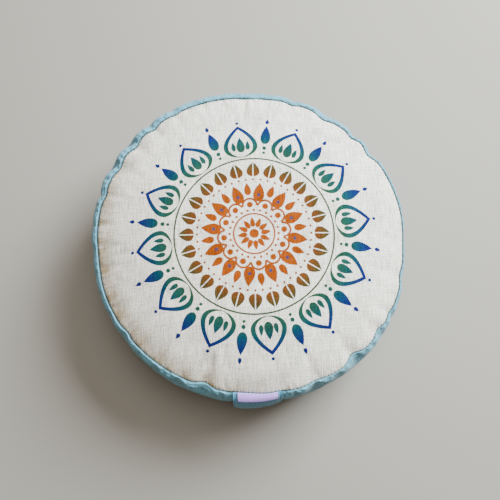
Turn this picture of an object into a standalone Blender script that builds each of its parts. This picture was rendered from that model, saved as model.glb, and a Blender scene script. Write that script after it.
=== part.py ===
"""Zafu meditation cushion: a filled round body with a gathered side band, a crowned top panel,
a base panel, a carry handle and a label.

Metres, +Z up. The cushion rests on Z = 0 and its axis is the Z axis. The handle is at the front,
on the -Y side. Angles run round the axis from +X, anticlockwise as seen from above.
"""

import math
from collections import namedtuple

import bmesh
import bpy
from mathutils import Vector

MM = 0.001

# ---- Driving dimensions -------------------------------------------------------------------
SEAM_RADIUS = 168.0 * MM        # of both seams, where no pucker pulls them in
TOP_SEAM_HEIGHT = 108.0 * MM
BASE_SEAM_HEIGHT = 12.0 * MM
CROWN = 22.0 * MM               # how far the top panel rises above its seam
CROWN_POWER = 3.2               # above 2, the crown is flatter in the middle
REST_RADIUS = 140.0 * MM        # the base panel is flat on the floor within this radius
REST_POWER = 1.7                # how the base curves up from the floor to its seam
BULGE = 10.5 * MM               # how far the side band stands out beyond the seams
SHOULDER = 3.0                  # exponent of the side's curve: 2 is an ellipse, more is squarer

PANEL_THICKNESS = 2.0 * MM
GAP = 0.5 * MM                  # air between neighbouring pieces
SEAM_DIP = 1.0 * MM             # the panels' edges sink this far into the seams
LIP_WIDTH = 3.4 * MM            # the band's rolled edge beside each seam
LIP_SUNK = 1.6 * MM             # how deep the crevice between panel and lip goes
LIP_FURROW = 0.9 * MM           # the shallow groove outside the lip

STRAP_ANGLE = 270.0             # degrees, middle of the handle
STRAP_SEAM_RADIUS = 164.8 * MM  # of the seams where the strap is caught in them
STRAP_WIDTH = 52.0 * MM
STRAP_THICKNESS = 2.4 * MM
STRAP_BULGE = 18.0 * MM         # the strap's middle surface, beyond the seams
STRAP_WIDEST_HEIGHT = 44.0 * MM     # it sags, so it stands out most below the middle
STRAP_SHOULDER = 2.6            # exponent of its curve
STRAP_SEAM_REACH = 7.0 * MM     # its ends follow the puckered seams over about this length
STRAP_START = 1.0 * MM          # its ends come out of the seams this far from the panels
STRAP_SUNK = 0.8 * MM           # its ends lie this far below the seams' height
STRAP_PRESS = 2.3 * MM          # the band is flattened this much where the strap crosses a seam
STRAP_PRESS_DOWN = 8.0 * MM     # how far down the side it is flattened
STRAP_PRESS_MARGIN = 1.0        # degrees beyond the strap's edges that are flattened as much
STRAP_PRESS_FADE = 3.0          # degrees over which that then fades out
STRAP_HOLLOW = 3.3 * MM         # the side is this much flatter behind the strap, for the hand
STRAP_HOLLOW_SPREAD = 10.5      # degrees to each side
LABEL_WIDTH = 41.5 * MM
LABEL_HEIGHT = 8.4 * MM         # measured along the strap
LABEL_THICKNESS = 1.0 * MM

# ---- Fineness -----------------------------------------------------------------------------------
STEPS = 120                     # facets round the cushion
CROWN_SHARES = (0.0, 0.36, 0.62, 0.82, 0.93, 0.98)      # of the seam's radius, where it is cut
REST_SHARES = (0.0, 0.35, 0.68, 0.9)    # of the way from the flat part to the seam
SIDE_ANGLES = (75, 60, 42, 22, 0, -22, -42, -60, -75)   # degrees up the side's squarish curve
STRAP_ANGLE_STEP = 10           # degrees along the strap's squarish curve
STRAP_COLUMNS = 6
LABEL_COLUMNS = 4
WELD = 0.01 * MM                # points nearer than this become one

# ---- How the cloth is gathered --------------------------------------------------------------------
Pucker = namedtuple("Pucker", "angle depth spread")

# Where the gathered band pulls the top seam inwards: angle and spread in degrees, depth in mm.
PUCKERS = [
    Pucker(33.5, 3.8, 3.5),
    Pucker(43.0, 3.2, 3.0),
    Pucker(49.5, 1.2, 4.0),
    Pucker(56.5, 3.8, 4.0),
    Pucker(70.5, 1.8, 2.5),
    Pucker(87.5, 1.4, 10.0),
    Pucker(128.5, 2.4, 2.2),
    Pucker(139.5, 3.0, 2.8),
    Pucker(149.5, 2.6, 3.0),
    Pucker(161.0, 0.8, 2.0),
    Pucker(185.5, 1.6, 9.0),
    Pucker(216.0, 1.6, 2.5),
    Pucker(250.5, 3.6, 3.5),
    Pucker(265.5, 1.4, 8.0),
    Pucker(278.5, 1.6, 3.5),
    Pucker(291.5, 2.0, 4.5),
    Pucker(307.5, 5.5, 3.3),
    Pucker(320.5, 2.9, 2.5),
    Pucker(328.0, 1.5, 2.0),
    Pucker(343.5, 3.2, 4.5),
    Pucker(354.5, 3.9, 10.0),
]
BASE_SEAM_TURN = 9.0            # the base seam's puckers sit this many degrees further round
PUCKER_INWARDS = 14.0 * MM      # how far a pucker reaches across a panel
PUCKER_DOWN = 22.0 * MM         # how far it reaches down the side
PUCKER_SINK = 0.35              # share of its depth by which a pucker also sinks
LEAST_REACH = 0.001             # farther out than this share, a pucker moves nothing up or down

Wave = namedtuple("Wave", "turns cosine sine")

# How far the seams are out of round, and how unevenly the side is puffed out, in mm.
OUT_OF_ROUND = [Wave(2, 0.9, -1.7), Wave(4, -0.5, 0.4)]
ROUNDER_INSIDE = 3              # exponent: a panel is rounder the nearer its middle
UNEVEN_BULGE = [Wave(1, -1.6, 2.4), Wave(2, -2.7, -0.7), Wave(3, 0.5, 0.4), Wave(4, -0.4, -0.5)]

# ---- Sizes that follow ----------------------------------------------------------------------
MIDDLE_HEIGHT = (TOP_SEAM_HEIGHT + BASE_SEAM_HEIGHT) / 2
HALF_HEIGHT = (TOP_SEAM_HEIGHT - BASE_SEAM_HEIGHT) / 2
PANEL_RADIUS = SEAM_RADIUS - GAP
EDGE_MARGIN = 0.01 * MM         # a point this near the seam's radius counts as the panel's edge
LABEL_LIFT = STRAP_THICKNESS / 2 + GAP + LABEL_THICKNESS / 2

# ---- Colours ----------------------------------------------------------------------------------
OFF_WHITE_LINEN = (0.70, 0.68, 0.62, 1.0)
LIGHT_BLUE_LINEN = (0.24, 0.40, 0.44, 1.0)
TEAL_BLUE_LINEN = (0.12, 0.28, 0.34, 1.0)
LAVENDER = (0.66, 0.58, 0.84, 1.0)
LINEN_ROUGHNESS = 0.9
LABEL_ROUGHNESS = 0.7


# ---- Scene, materials ------------------------------------------------------------------------
def clear_scene():
    for scene_object in list(bpy.data.objects):
        bpy.data.objects.remove(scene_object)


def cloth_material(name, colour, roughness):
    material = bpy.data.materials.new(name)
    material.use_nodes = True
    shader = material.node_tree.nodes["Principled BSDF"]
    shader.inputs["Base Color"].default_value = colour
    shader.inputs["Roughness"].default_value = roughness
    shader.inputs["Metallic"].default_value = 0.0
    material.diffuse_color = colour
    return material


def add_object(name, mesh, material, collection):
    mesh.materials.clear()
    mesh.materials.append(material)
    piece = bpy.data.objects.new(name, mesh)
    collection.objects.link(piece)
    return piece


# ---- How uneven the cushion is ------------------------------------------------------------------
def wave_sum(waves, angle):
    """The sum of slow waves round the cushion, in metres."""
    turn = math.radians(angle)
    return MM * sum(
        wave.cosine * math.cos(wave.turns * turn) + wave.sine * math.sin(wave.turns * turn)
        for wave in waves
    )


def degrees_apart(first, second):
    return abs((first - second + 180.0) % 360.0 - 180.0)


def pucker_depth(angle, on_top):
    """How far the top or base seam is pulled in at this angle, in metres."""
    if not on_top:
        angle -= BASE_SEAM_TURN
    return MM * sum(
        pucker.depth * math.exp(-(degrees_apart(angle, pucker.angle) / pucker.spread) ** 2)
        for pucker in PUCKERS
    )


def seam_radius(angle):
    return SEAM_RADIUS + wave_sum(OUT_OF_ROUND, angle)


def bulge_share(angle):
    """How much the side is puffed out at this angle; 1 is the mean."""
    return 1.0 + wave_sum(UNEVEN_BULGE, angle) / BULGE


def strap_hollow(angle):
    """How much flatter the side is at this angle, behind the strap, in metres."""
    share = degrees_apart(angle, STRAP_ANGLE) / STRAP_HOLLOW_SPREAD
    return STRAP_HOLLOW * max(1.0 - share**2, 0.0)


def strap_share(angle):
    """1 under the strap, falling to 0 a little to its left and right."""
    half_turn = math.degrees(STRAP_WIDTH / 2 / SEAM_RADIUS)
    beyond = degrees_apart(angle, STRAP_ANGLE) - half_turn - STRAP_PRESS_MARGIN
    return 1.0 - min(max(beyond / STRAP_PRESS_FADE, 0.0), 1.0)


def uneven(point):
    """Moves a point of the evenly turned cushion to where the gathered cloth puts it. Points
    inside the seam's radius belong to a panel, points outside it to the band."""
    radius = math.hypot(point.x, point.y)
    angle = math.degrees(math.atan2(point.y, point.x)) % 360.0
    outside = radius - SEAM_RADIUS
    on_top = point.z > MIDDLE_HEIGHT
    seam_height = TOP_SEAM_HEIGHT if on_top else BASE_SEAM_HEIGHT
    inwards = -1.0 if on_top else 1.0
    depth = pucker_depth(angle, on_top)
    below_seam = abs(point.z - seam_height)
    if outside < EDGE_MARGIN:
        share = (radius / SEAM_RADIUS) ** ROUNDER_INSIDE
        reach = math.exp(-((outside / PUCKER_INWARDS) ** 2))
        radius += share * wave_sum(OUT_OF_ROUND, angle) - depth * reach
        pressed = 0.0
    else:
        reach = math.exp(-((below_seam / PUCKER_DOWN) ** 2))
        radius = seam_radius(angle) - depth * reach
        radius += outside * (bulge_share(angle) - strap_hollow(angle) / BULGE)
        pressed = STRAP_PRESS * strap_share(angle) * press_reach(outside, below_seam)
    height = point.z
    if height > 0.0 and reach > LEAST_REACH:
        height += inwards * (depth * reach * PUCKER_SINK + pressed)
    turn = math.radians(angle)
    return Vector((radius * math.cos(turn), radius * math.sin(turn), height))


def press_reach(outside, below_seam):
    """The strap flattens the lip and the shoulder beside the seam, but not the crevice's floor."""
    floor = SEAM_DIP + PANEL_THICKNESS + GAP
    if outside < LIP_WIDTH:
        return max(1.0 - below_seam / floor, 0.0)
    return math.exp(-((below_seam / STRAP_PRESS_DOWN) ** 2))


# ---- Turned pieces ------------------------------------------------------------------------------
def turned_mesh(name, profile):
    """Spins a profile of (radius, height) points round Z, then makes it uneven."""
    outline = bpy.data.meshes.new(name + "_profile")
    points = [(radius, 0.0, height) for radius, height in profile]
    edges = [(index, index + 1) for index in range(len(points) - 1)]
    outline.from_pydata(points, edges, [])
    holder = bpy.data.objects.new(name + "_profile", outline)
    bpy.context.scene.collection.objects.link(holder)
    screw = holder.modifiers.new("Turn", "SCREW")
    screw.axis = "Z"
    screw.steps = STEPS
    screw.render_steps = STEPS
    screw.use_merge_vertices = True
    screw.merge_threshold = WELD
    turned = holder.evaluated_get(bpy.context.evaluated_depsgraph_get())
    mesh = bpy.data.meshes.new_from_object(turned)
    mesh.name = name
    bpy.data.objects.remove(holder)
    for vertex in mesh.vertices:
        vertex.co = uneven(vertex.co)
    close_mesh(mesh)
    return mesh


def close_mesh(mesh):
    """Welds the points on the axis and turns every face outwards. Two faces that lie over each
    other are cut along the same diagonal, so the gap between them stays even."""
    work = bmesh.new()
    work.from_mesh(mesh)
    bmesh.ops.remove_doubles(work, verts=work.verts, dist=WELD)
    bmesh.ops.triangulate(work, faces=work.faces, quad_method="SHORT_EDGE")
    bmesh.ops.recalc_face_normals(work, faces=work.faces)
    work.to_mesh(mesh)
    work.free()


def sunk_path(path, depth):
    """The path moved into the cushion by a depth, square to itself. Its ends move straight."""
    moved = []
    for index, (radius, height) in enumerate(path):
        before = Vector(path[max(index - 1, 0)])
        after = Vector(path[min(index + 1, len(path) - 1)])
        along = (after - before).normalized()
        inwards = 1.0 if height < MIDDLE_HEIGHT else -1.0
        if index in (0, len(path) - 1):
            moved.append((radius, height + inwards * depth))
        else:
            moved.append((radius + inwards * -along.y * depth, height + inwards * along.x * depth))
    return moved


def facing_path(panel_side):
    """The body's side that lies a gap away from a panel's inner side, out to the seam."""
    inwards = 1.0 if panel_side[0][1] < MIDDLE_HEIGHT else -1.0
    facing = [(radius, height + inwards * GAP) for radius, height in panel_side]
    facing.append((SEAM_RADIUS, facing[-1][1]))
    return facing


def crown_path():
    """The top panel's upper side, from its middle to its edge."""
    path = []
    for share in CROWN_SHARES:
        rise = CROWN * (1.0 - share**CROWN_POWER)
        path.append((share * SEAM_RADIUS, TOP_SEAM_HEIGHT + rise))
    path.append((PANEL_RADIUS, TOP_SEAM_HEIGHT - SEAM_DIP))
    return path


def rest_path():
    """The base panel's lower side, from its middle to its edge."""
    path = [(0.0, 0.0)]
    for share in REST_SHARES:
        radius = REST_RADIUS + share * (SEAM_RADIUS - REST_RADIUS)
        path.append((radius, BASE_SEAM_HEIGHT * share**REST_POWER))
    path.append((PANEL_RADIUS, BASE_SEAM_HEIGHT + SEAM_DIP))
    return path


def lip_path():
    """The rolled edge beside a seam, as (beyond the seam, how deep in it): the crevice's floor,
    the lip's inner side, its crest and the furrow outside it."""
    return [
        (0.0, LIP_SUNK),
        (0.26 * LIP_WIDTH, 0.15 * LIP_SUNK),
        (0.62 * LIP_WIDTH, 0.0),
        (LIP_WIDTH, LIP_FURROW),
    ]


def squarish(angle, exponent):
    """A quarter of a squarish curve, 1 wide and 1 high: 0 degrees is out, 90 is up."""
    turn = math.radians(abs(angle))
    out = max(math.cos(turn), 0.0) ** (2.0 / exponent)
    rise = math.sin(turn) ** (2.0 / exponent)
    return out, math.copysign(rise, angle)


def side_path():
    """The body's side, from the top seam down to the base seam."""
    path = [(SEAM_RADIUS + out, TOP_SEAM_HEIGHT - sunk) for out, sunk in lip_path()]
    for angle in SIDE_ANGLES:
        out, rise = squarish(angle, SHOULDER)
        path.append((SEAM_RADIUS + out * BULGE, MIDDLE_HEIGHT + rise * HALF_HEIGHT))
    path += [(SEAM_RADIUS + out, BASE_SEAM_HEIGHT + sunk) for out, sunk in reversed(lip_path())]
    return path


def side_band_mesh():
    under_top = facing_path(sunk_path(crown_path(), PANEL_THICKNESS))
    over_base = facing_path(sunk_path(rest_path(), PANEL_THICKNESS))
    return turned_mesh("side_band", under_top + side_path() + over_base[::-1])


def top_panel_mesh():
    upper = crown_path()
    lower = sunk_path(upper, PANEL_THICKNESS)
    return turned_mesh("top_panel", upper + lower[::-1])


def base_panel_mesh():
    lower = rest_path()
    upper = sunk_path(lower, PANEL_THICKNESS)
    return turned_mesh("base_panel", upper + lower[::-1])


# ---- Strap and label ----------------------------------------------------------------------------
def strap_path():
    """The middle of the strap's thickness, as (beyond the seam, height), top end first."""
    above = TOP_SEAM_HEIGHT - STRAP_SUNK - STRAP_WIDEST_HEIGHT
    below = STRAP_WIDEST_HEIGHT - BASE_SEAM_HEIGHT - STRAP_SUNK
    path = []
    for angle in range(90, -91, -STRAP_ANGLE_STEP):
        out, rise = squarish(angle, STRAP_SHOULDER)
        reach = above if rise > 0.0 else below
        beyond = STRAP_START + out * (STRAP_BULGE - STRAP_START)
        path.append((beyond, STRAP_WIDEST_HEIGHT + rise * reach))
    return path


def path_length(path):
    return sum(math.dist(start, end) for start, end in zip(path, path[1:]))


def label_path():
    """The middle of the label's thickness: the strap's upper end, lifted square to it."""
    strap = strap_path()
    path = []
    for index, (out, height) in enumerate(strap[:-1]):
        along = (Vector(strap[index + 1]) - Vector(strap[max(index - 1, 0)])).normalized()
        path.append((out - along.y * LABEL_LIFT, height + along.x * LABEL_LIFT))
    return cut_path(path, LABEL_HEIGHT)


def cut_path(path, length):
    """The first part of a path, as long as asked."""
    cut = [path[0]]
    for start, end in zip(path, path[1:]):
        step = math.dist(start, end)
        left = length - path_length(cut)
        if step >= left:
            share = left / step
            cut.append(tuple(Vector(start).lerp(Vector(end), share)))
            break
        cut.append(end)
    return cut


def strip_mesh(name, path, width, thickness, columns):
    """A strip of cloth along a path, laid round the cushion at the strap's angle."""
    rows = len(path) - 1
    work = bmesh.new()
    bmesh.ops.create_grid(work, x_segments=columns, y_segments=rows, size=0.5)
    for vertex in work.verts:
        out, height = path[round((vertex.co.y + 0.5) * rows)]
        vertex.co = (vertex.co.x * width, out, height)
    mesh = bpy.data.meshes.new(name)
    work.to_mesh(mesh)
    work.free()
    mesh = thickened(name, mesh, thickness)
    for vertex in mesh.vertices:
        vertex.co = laid_round(vertex.co)
    close_mesh(mesh)
    return mesh


def thickened(name, mesh, thickness):
    holder = bpy.data.objects.new(name + "_sheet", mesh)
    bpy.context.scene.collection.objects.link(holder)
    solidify = holder.modifiers.new("Thickness", "SOLIDIFY")
    solidify.thickness = thickness
    solidify.offset = 0.0
    solidify.use_even_offset = True
    thick = holder.evaluated_get(bpy.context.evaluated_depsgraph_get())
    thick_mesh = bpy.data.meshes.new_from_object(thick)
    thick_mesh.name = name
    bpy.data.objects.remove(holder)
    return thick_mesh


def laid_round(point):
    """Takes (across, beyond the seam, height) to its place on the cushion's front."""
    radius = STRAP_SEAM_RADIUS + point.y
    turn = math.radians(STRAP_ANGLE) + point.x / radius
    angle = math.degrees(turn)
    seam = seam_radius(angle) - pucker_depth(angle, point.z > MIDDLE_HEIGHT)
    near_seam = math.exp(-((point.y / STRAP_SEAM_REACH) ** 2))
    radius += near_seam * (seam - STRAP_SEAM_RADIUS)
    return Vector((radius * math.cos(turn), radius * math.sin(turn), point.z))


def carry_handle_mesh():
    return strip_mesh("carry_handle", strap_path(), STRAP_WIDTH, STRAP_THICKNESS, STRAP_COLUMNS)


def side_label_mesh():
    return strip_mesh("side_label", label_path(), LABEL_WIDTH, LABEL_THICKNESS, LABEL_COLUMNS)


# ---- Build ------------------------------------------------------------------------------------------
def main():
    clear_scene()
    collection = bpy.data.collections.new("zafu_meditation_cushion")
    bpy.context.scene.collection.children.link(collection)

    off_white = cloth_material("off_white_linen", OFF_WHITE_LINEN, LINEN_ROUGHNESS)
    light_blue = cloth_material("light_blue_linen", LIGHT_BLUE_LINEN, LINEN_ROUGHNESS)
    teal_blue = cloth_material("teal_blue_linen", TEAL_BLUE_LINEN, LINEN_ROUGHNESS)
    lavender = cloth_material("lavender_label", LAVENDER, LABEL_ROUGHNESS)

    add_object("side_band", side_band_mesh(), light_blue, collection)
    add_object("top_panel", top_panel_mesh(), off_white, collection)
    add_object("base_panel", base_panel_mesh(), light_blue, collection)
    add_object("carry_handle", carry_handle_mesh(), teal_blue, collection)
    add_object("side_label", side_label_mesh(), lavender, collection)


main()
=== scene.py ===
# %% [markdown]
# # A round meditation cushion
# A zafu is a filled drum of cloth: a gathered side band between two round panels. This lesson
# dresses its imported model, which stays as the fixed frame. The round pieces are turned like a
# pot, puckered where the seams pull in and puffed up by a cloth simulation. The strap and its
# label are bent from flat slabs. Lengths are in metres, Z is up and the handle faces -Y.

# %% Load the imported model
import math
from collections import namedtuple
from functools import partialmethod, reduce

import bmesh
import bpy
import numpy as np
from mathutils import Matrix, Vector


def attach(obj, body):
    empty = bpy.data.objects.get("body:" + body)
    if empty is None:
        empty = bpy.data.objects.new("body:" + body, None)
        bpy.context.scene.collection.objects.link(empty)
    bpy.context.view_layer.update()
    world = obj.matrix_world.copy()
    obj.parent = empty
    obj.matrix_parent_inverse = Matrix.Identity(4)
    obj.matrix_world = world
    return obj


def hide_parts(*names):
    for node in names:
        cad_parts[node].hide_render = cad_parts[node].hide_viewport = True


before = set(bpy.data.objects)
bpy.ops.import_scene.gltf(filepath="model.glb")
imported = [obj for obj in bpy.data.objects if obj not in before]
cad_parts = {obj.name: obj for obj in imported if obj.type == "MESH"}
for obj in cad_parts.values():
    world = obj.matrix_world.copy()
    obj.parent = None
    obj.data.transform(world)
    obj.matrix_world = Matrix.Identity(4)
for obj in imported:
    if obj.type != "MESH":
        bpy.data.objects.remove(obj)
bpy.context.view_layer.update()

MM = 0.001

# %% [markdown]
# ## The camera
# The cushion is seen from almost straight above, a little from the front. A wide lens makes the
# near edge look bigger than the far one, and a small turn puts the handle left of the middle.

# %% Camera
camera = bpy.data.objects.new("camera", bpy.data.cameras.new("camera"))
camera.data.sensor_width = 36.0
camera.data.lens = 38.95
camera.location = (-0.0067, -0.1392, 0.6822)
camera.rotation_euler = (math.radians(12.25), 0.0, math.radians(-2.5))
bpy.context.scene.collection.objects.link(camera)
bpy.context.scene.camera = camera
print("camera", round(camera.location.z, 3), "m above the floor")

# %% [markdown]
# ## The cushion's sizes
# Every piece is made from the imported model's sizes, so each lies where its solid lies. The
# seams are circles of one radius, with the side outside them and the crown above.

# %% Sizes
SEAM_RADIUS = 168.0 * MM
TOP_SEAM_HEIGHT = 108.0 * MM
BASE_SEAM_HEIGHT = 12.0 * MM
MIDDLE_HEIGHT = (TOP_SEAM_HEIGHT + BASE_SEAM_HEIGHT) / 2
HALF_HEIGHT = (TOP_SEAM_HEIGHT - BASE_SEAM_HEIGHT) / 2
CROWN = 22.0 * MM  # how far the top rises above its seam
CROWN_POWER = 3.2  # above 2, the crown is flatter in the middle
REST_RADIUS = 140.0 * MM  # the base is flat on the floor within this radius
REST_POWER = 1.7
BULGE = 10.5 * MM  # how far the side stands out beyond the seams
SHOULDER = 2.4  # exponent of its curve: 2 is an ellipse, more is squarer
PANEL_THICKNESS = 2.0 * MM
GAP = 0.5 * MM  # air between neighbouring pieces
PANEL_RADIUS = SEAM_RADIUS - GAP
SEAM_DIP = 1.0 * MM  # the panels' edges sink this far into the seams

# %% [markdown]
# ## Gathers
# The band is cut longer than the seam it is sewn to, so the seam puckers: it dips inwards and
# down at uneven places, and a crease runs down the side from each. With noise, no pucker would
# be where the real one is. So a table gives each its angle and sizes, and slow waves say how
# far the cushion is out of round.

# %% Puckers and waves
Pucker = namedtuple("Pucker", "angle depth spread crease")  # degrees, mm, degrees, mm
PUCKERS = [
    Pucker(33.5, 3.8, 3.5, 3.0),
    Pucker(43.0, 3.2, 3.0, 2.0),
    Pucker(49.5, 1.2, 4.0, 0.0),
    Pucker(56.5, 3.8, 4.0, 0.6),
    Pucker(70.5, 1.8, 2.5, 0.6),
    Pucker(87.5, 1.4, 10.0, 0.0),
    Pucker(118.5, 1.1, 1.8, 1.7),
    Pucker(128.5, 2.6, 2.2, 2.6),
    Pucker(138.5, 3.1, 2.8, 3.2),
    Pucker(149.0, 2.8, 3.0, 3.2),
    Pucker(161.0, 1.6, 2.0, 2.4),
    Pucker(185.5, 1.6, 9.0, 0.0),
    Pucker(216.0, 1.6, 2.5, 1.0),
    Pucker(250.5, 4.2, 3.2, 3.2),
    Pucker(265.5, 1.4, 8.0, 0.0),
    Pucker(278.5, 1.6, 3.5, 1.0),
    Pucker(291.5, 2.0, 4.5, 1.8),
    Pucker(307.5, 5.5, 3.3, 1.8),
    Pucker(320.5, 2.9, 2.5, 1.2),
    Pucker(328.0, 1.5, 2.0, 2.0),
    Pucker(343.0, 2.3, 3.5, 0.5),
    Pucker(353.5, 2.2, 9.0, 0.0),
]
BASE_SEAM_TURN = 9.0  # the base seam's puckers sit this many degrees further round
PUCKER_INWARDS = 14.0 * MM  # how far a pucker reaches across a panel
PUCKER_DOWN = 9.0 * MM  # how far it reaches down the side
CREASE_NARROW = 0.75  # a crease's spread, as a share of its pucker's
CREASE_HEIGHTS = (2.0 * MM, 7.0 * MM, 26.0 * MM)  # below the seam: start, deepest, end
PUCKER_SINK = 0.35  # share of its depth by which it also sinks

Wave = namedtuple("Wave", "turns cosine sine")  # mm
OUT_OF_ROUND = [Wave(2, 0.9, -1.7), Wave(4, -0.5, 0.4)]
UNEVEN_BULGE = [Wave(1, -1.6, 2.4), Wave(2, -2.7, -0.7), Wave(3, 0.5, 0.4), Wave(4, -0.4, -0.5)]


def degrees_apart(first, second):
    return np.abs((first - second + 180.0) % 360.0 - 180.0)


def fade(distance, width):
    """1 at no distance, falling softly to 0 beyond the width."""
    return np.exp(-((distance / width) ** 2))


def bell(angle, middle, spread):
    """1 at the middle angle, falling softly to 0 beyond the spread."""
    return fade(degrees_apart(angle, middle), spread)


def pucker_depth(angle, on_top):
    """How far the top or base seam is pulled in at each angle."""
    angle = angle - np.where(on_top, 0.0, BASE_SEAM_TURN)
    return MM * sum(row.depth * bell(angle, row.angle, row.spread) for row in PUCKERS)


def crease_depth(angle, on_top, below_seam):
    """How deep the valley is that runs down the side from each pucker."""
    angle = angle - np.where(on_top, 0.0, BASE_SEAM_TURN)
    reach = np.interp(below_seam, CREASE_HEIGHTS, (0.0, 1.0, 0.0))
    dips = sum(row.crease * bell(angle, row.angle, CREASE_NARROW * row.spread) for row in PUCKERS)
    return MM * dips * reach**2


def wave_sum(waves, angle):
    turn = np.radians(angle)
    return MM * sum(
        row.cosine * np.cos(row.turns * turn) + row.sine * np.sin(row.turns * turn) for row in waves
    )


print(len(PUCKERS), "puckers, the deepest", max(pucker.depth for pucker in PUCKERS), "mm")

# %% [markdown]
# The strap crosses the band at the front. It presses the seams' edges flat, and the side lies
# flatter behind it, which leaves room for a hand. Both are functions of the angle, so every
# piece under the strap gives way by the same amount. The side is a little flatter or fuller at
# three other places too.

# %% Where the strap presses
STRAP_ANGLE = 270.0
STRAP_WIDTH = 52.0 * MM
STRAP_PRESS = 2.3 * MM
STRAP_PRESS_DOWN = 8.0 * MM
STRAP_PRESS_MARGIN = 1.0  # degrees
STRAP_PRESS_FADE = 3.0  # degrees
LIP_WIDTH = 3.4 * MM
Hollow = namedtuple("Hollow", "angle depth spread")  # degrees, mm, degrees
HOLLOWS = [
    Hollow(STRAP_ANGLE, 3.3, 10.5),
    Hollow(354.0, 2.5, 20.0),
    Hollow(42.0, 1.1, 28.0),
    Hollow(187.0, -2.3, 45.0),
]


def hollow_depth(angle):
    """How much flatter the side is at each angle. Below zero, it is fuller."""
    return MM * sum(
        row.depth * np.maximum(1.0 - (degrees_apart(angle, row.angle) / row.spread) ** 2, 0.0)
        for row in HOLLOWS
    )


def strap_share(angle):
    """1 under the strap, falling to 0 a little to its left and right."""
    half_turn = math.degrees(STRAP_WIDTH / 2 / SEAM_RADIUS)
    beyond = degrees_apart(angle, STRAP_ANGLE) - half_turn - STRAP_PRESS_MARGIN
    return 1.0 - np.clip(beyond / STRAP_PRESS_FADE, 0.0, 1.0)


def press_reach(outside, below_seam):
    """The lip is pressed down to the crevice's floor, and the shoulder beyond it less and less."""
    floor = SEAM_DIP + PANEL_THICKNESS + GAP
    on_lip = np.maximum(1.0 - below_seam / floor, 0.0)
    return np.where(outside < LIP_WIDTH, on_lip, fade(below_seam, STRAP_PRESS_DOWN))


print("the strap hides", round(math.degrees(STRAP_WIDTH / SEAM_RADIUS), 1), "degrees of the band")

# %% [markdown]
# One function moves any point of the evenly turned cushion to where the gathered cloth puts
# it. It works on whole arrays of points at once, because the pieces have tens of thousands.

# %% From even to gathered
EDGE_MARGIN = 0.01 * MM  # a point this near the seam's radius counts as the panel's edge
ROUNDER_INSIDE = 3  # a panel is rounder the nearer its middle
LEAST_REACH = 0.001


def gathered(radius, angle, height):
    """New radius and height of points of the even cushion. Angles are in degrees."""
    outside = radius - SEAM_RADIUS
    on_top = height > MIDDLE_HEIGHT
    seam_height = np.where(on_top, TOP_SEAM_HEIGHT, BASE_SEAM_HEIGHT)
    inwards = np.where(on_top, -1.0, 1.0)
    below_seam = np.abs(height - seam_height)
    depth = pucker_depth(angle, on_top)
    round_error = wave_sum(OUT_OF_ROUND, angle)
    in_panel = outside < EDGE_MARGIN
    side_reach = fade(below_seam, PUCKER_DOWN)
    reach = np.where(in_panel, fade(outside, PUCKER_INWARDS), side_reach)
    panel_radius = radius + (radius / SEAM_RADIUS) ** ROUNDER_INSIDE * round_error - depth * reach
    puffed = 1.0 + (wave_sum(UNEVEN_BULGE, angle) - hollow_depth(angle)) / BULGE
    crease = crease_depth(angle, on_top, below_seam) * (1.0 - strap_share(angle))
    side_radius = SEAM_RADIUS + round_error - depth * reach + outside * puffed - crease
    pressed = STRAP_PRESS * strap_share(angle) * press_reach(outside, below_seam)
    sink = depth * reach * PUCKER_SINK + np.where(in_panel, 0.0, pressed)
    moves = (height > 0.0) & (reach > LEAST_REACH)
    moved_height = height + np.where(moves, inwards * sink, 0.0)
    return np.where(in_panel, panel_radius, side_radius), moved_height


first_depth = pucker_depth(PUCKERS[0].angle, True) / MM
print("at the first pucker the seam is pulled in", round(first_depth, 1), "mm")

# %% [markdown]
# ## Turning cloth on the axis
# The rows of a cylinder or a sphere would not follow the seams. So a profile is spun round Z,
# with as many columns as the detail needs. A spin slows down as its mesh grows, so one sector
# is spun, then copied and turned until the ring is whole. Each point keeps its column and its
# place in the profile, so later steps can move whole rings, such as the stitched edge.

# %% Spin a profile
SECTORS = 12
Turned = namedtuple("Turned", "mesh profile row column angle")


def mesh_of(name, work):
    mesh = bpy.data.meshes.new(name)
    work.to_mesh(mesh)
    work.free()
    return mesh


def spun_mesh(name, profile, columns):
    """A profile of (radius, height) points spun round Z, with its normals outwards."""
    work = bmesh.new()
    line = [work.verts.new((radius, 0.0, height)) for radius, height in profile]
    edges = [work.edges.new(pair) for pair in zip(line, line[1:])]
    bmesh.ops.spin(
        work, geom=line + edges, cent=(0.0, 0.0, 0.0), axis=(0.0, 0.0, 1.0),
        angle=math.tau / SECTORS, steps=columns // SECTORS, use_merge=False,
        use_duplicate=False,
    )
    sector = work.verts[:] + work.edges[:] + work.faces[:]
    for count in range(1, SECTORS):
        copy = bmesh.ops.duplicate(work, geom=sector)["geom"]
        points = [item for item in copy if isinstance(item, bmesh.types.BMVert)]
        turn = Matrix.Rotation(count * math.tau / SECTORS, 3, "Z")
        bmesh.ops.rotate(work, verts=points, cent=(0.0, 0.0, 0.0), matrix=turn)
    bmesh.ops.remove_doubles(work, verts=work.verts, dist=0.001 * MM)
    bmesh.ops.recalc_face_normals(work, faces=work.faces)
    return mesh_of(name, work)


def values_of(items, name, size=1, kind=float):
    """One value, or so many, of each of a mesh's points, corners or faces."""
    values = np.empty(len(items) * size, dtype=kind)
    items.foreach_get(name, values)
    return values


def points_of(mesh):
    return values_of(mesh.vertices, "co", 3).reshape(-1, 3)


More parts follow.
